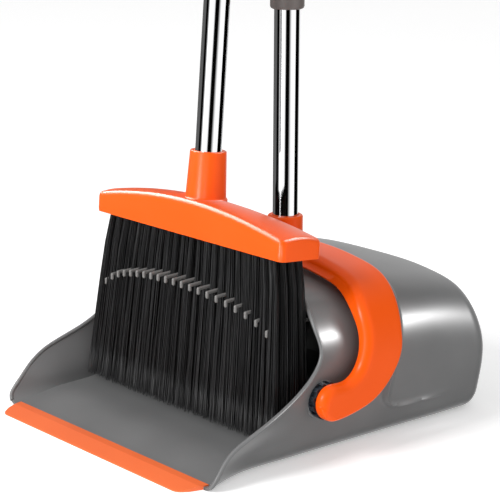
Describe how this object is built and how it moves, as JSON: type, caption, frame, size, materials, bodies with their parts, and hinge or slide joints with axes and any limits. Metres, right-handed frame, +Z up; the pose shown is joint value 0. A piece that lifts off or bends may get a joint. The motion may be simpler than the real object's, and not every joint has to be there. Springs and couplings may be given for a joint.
{
  "type": "upright dustpan and broom set",
  "caption": "Upright hooded dustpan on a hinged long handle, with a bristle-cleaning comb, a rubber lip and a broom clipped to the handle.",
  "frame": {"origin": "on the floor, in the middle of the set's width and depth", "axes": "+Z up along the handles, +X to the set's right, +Y towards the rear; the pan's mouth faces -Y"},
  "size_m": [0.331, 0.3579, 1.3003],
  "materials": {
    "pan_plastic": "satin",
    "lip_rubber": "matte",
    "comb_plastic": "satin",
    "ring_plastic": "satin",
    "orange_plastic": "gloss",
    "inner_plastic": "matte",
    "collar_plastic": "satin",
    "grip_plastic": "satin",
    "tube_steel": "polished",
    "bristle": "satin"
  },
  "bodies": {
    "pan": {"pan_shell": "pan_plastic", "lip_strip": "lip_rubber", "comb": "comb_plastic", "hub_ring_left": "ring_plastic", "hub_ring_right": "ring_plastic"},
    "handle": {"yoke": "orange_plastic", "pivot_pin_left": "orange_plastic", "pivot_pin_right": "orange_plastic", "pole_plug": "inner_plastic", "pole_tube_low": "tube_steel", "pole_joiner_1": "inner_plastic", "pole_collar_1": "collar_plastic", "pole_tube_mid": "tube_steel", "pole_joiner_2": "inner_plastic", "pole_collar_2": "collar_plastic", "pole_tube_top": "tube_steel", "pole_grip": "grip_plastic", "pole_cap": "orange_plastic", "broom_clip": "pan_plastic"},
    "broom": {"brush_head": "orange_plastic", "tuft_row_1": "bristle", "tuft_row_2": "bristle", "tuft_row_3": "bristle", "tuft_row_4": "bristle", "broom_plug": "inner_plastic", "broom_tube_low": "tube_steel", "broom_joiner_1": "inner_plastic", "broom_collar_1": "collar_plastic", "broom_tube_mid": "tube_steel", "broom_joiner_2": "inner_plastic", "broom_collar_2": "collar_plastic", "broom_tube_high": "tube_steel", "broom_joiner_3": "inner_plastic", "broom_middle_grip": "grip_plastic", "broom_tube_top": "tube_steel", "broom_grip": "grip_plastic", "broom_cap": "orange_plastic"}
  },
  "joints": [
    {"name": "handle_swing", "type": "hinge", "parent": "pan", "child": "handle", "pos_m": [0, -0.0365, 0.054], "axis": [1, 0, 0], "range_deg": [0, 90]},
    {"name": "broom_lift", "type": "slide", "parent": "handle", "child": "broom", "axis": [0, 0.075, 0.9972], "range_m": [0, 0.18], "deforming": ["tuft_row_1", "tuft_row_2", "tuft_row_3", "tuft_row_4"]}
  ]
}
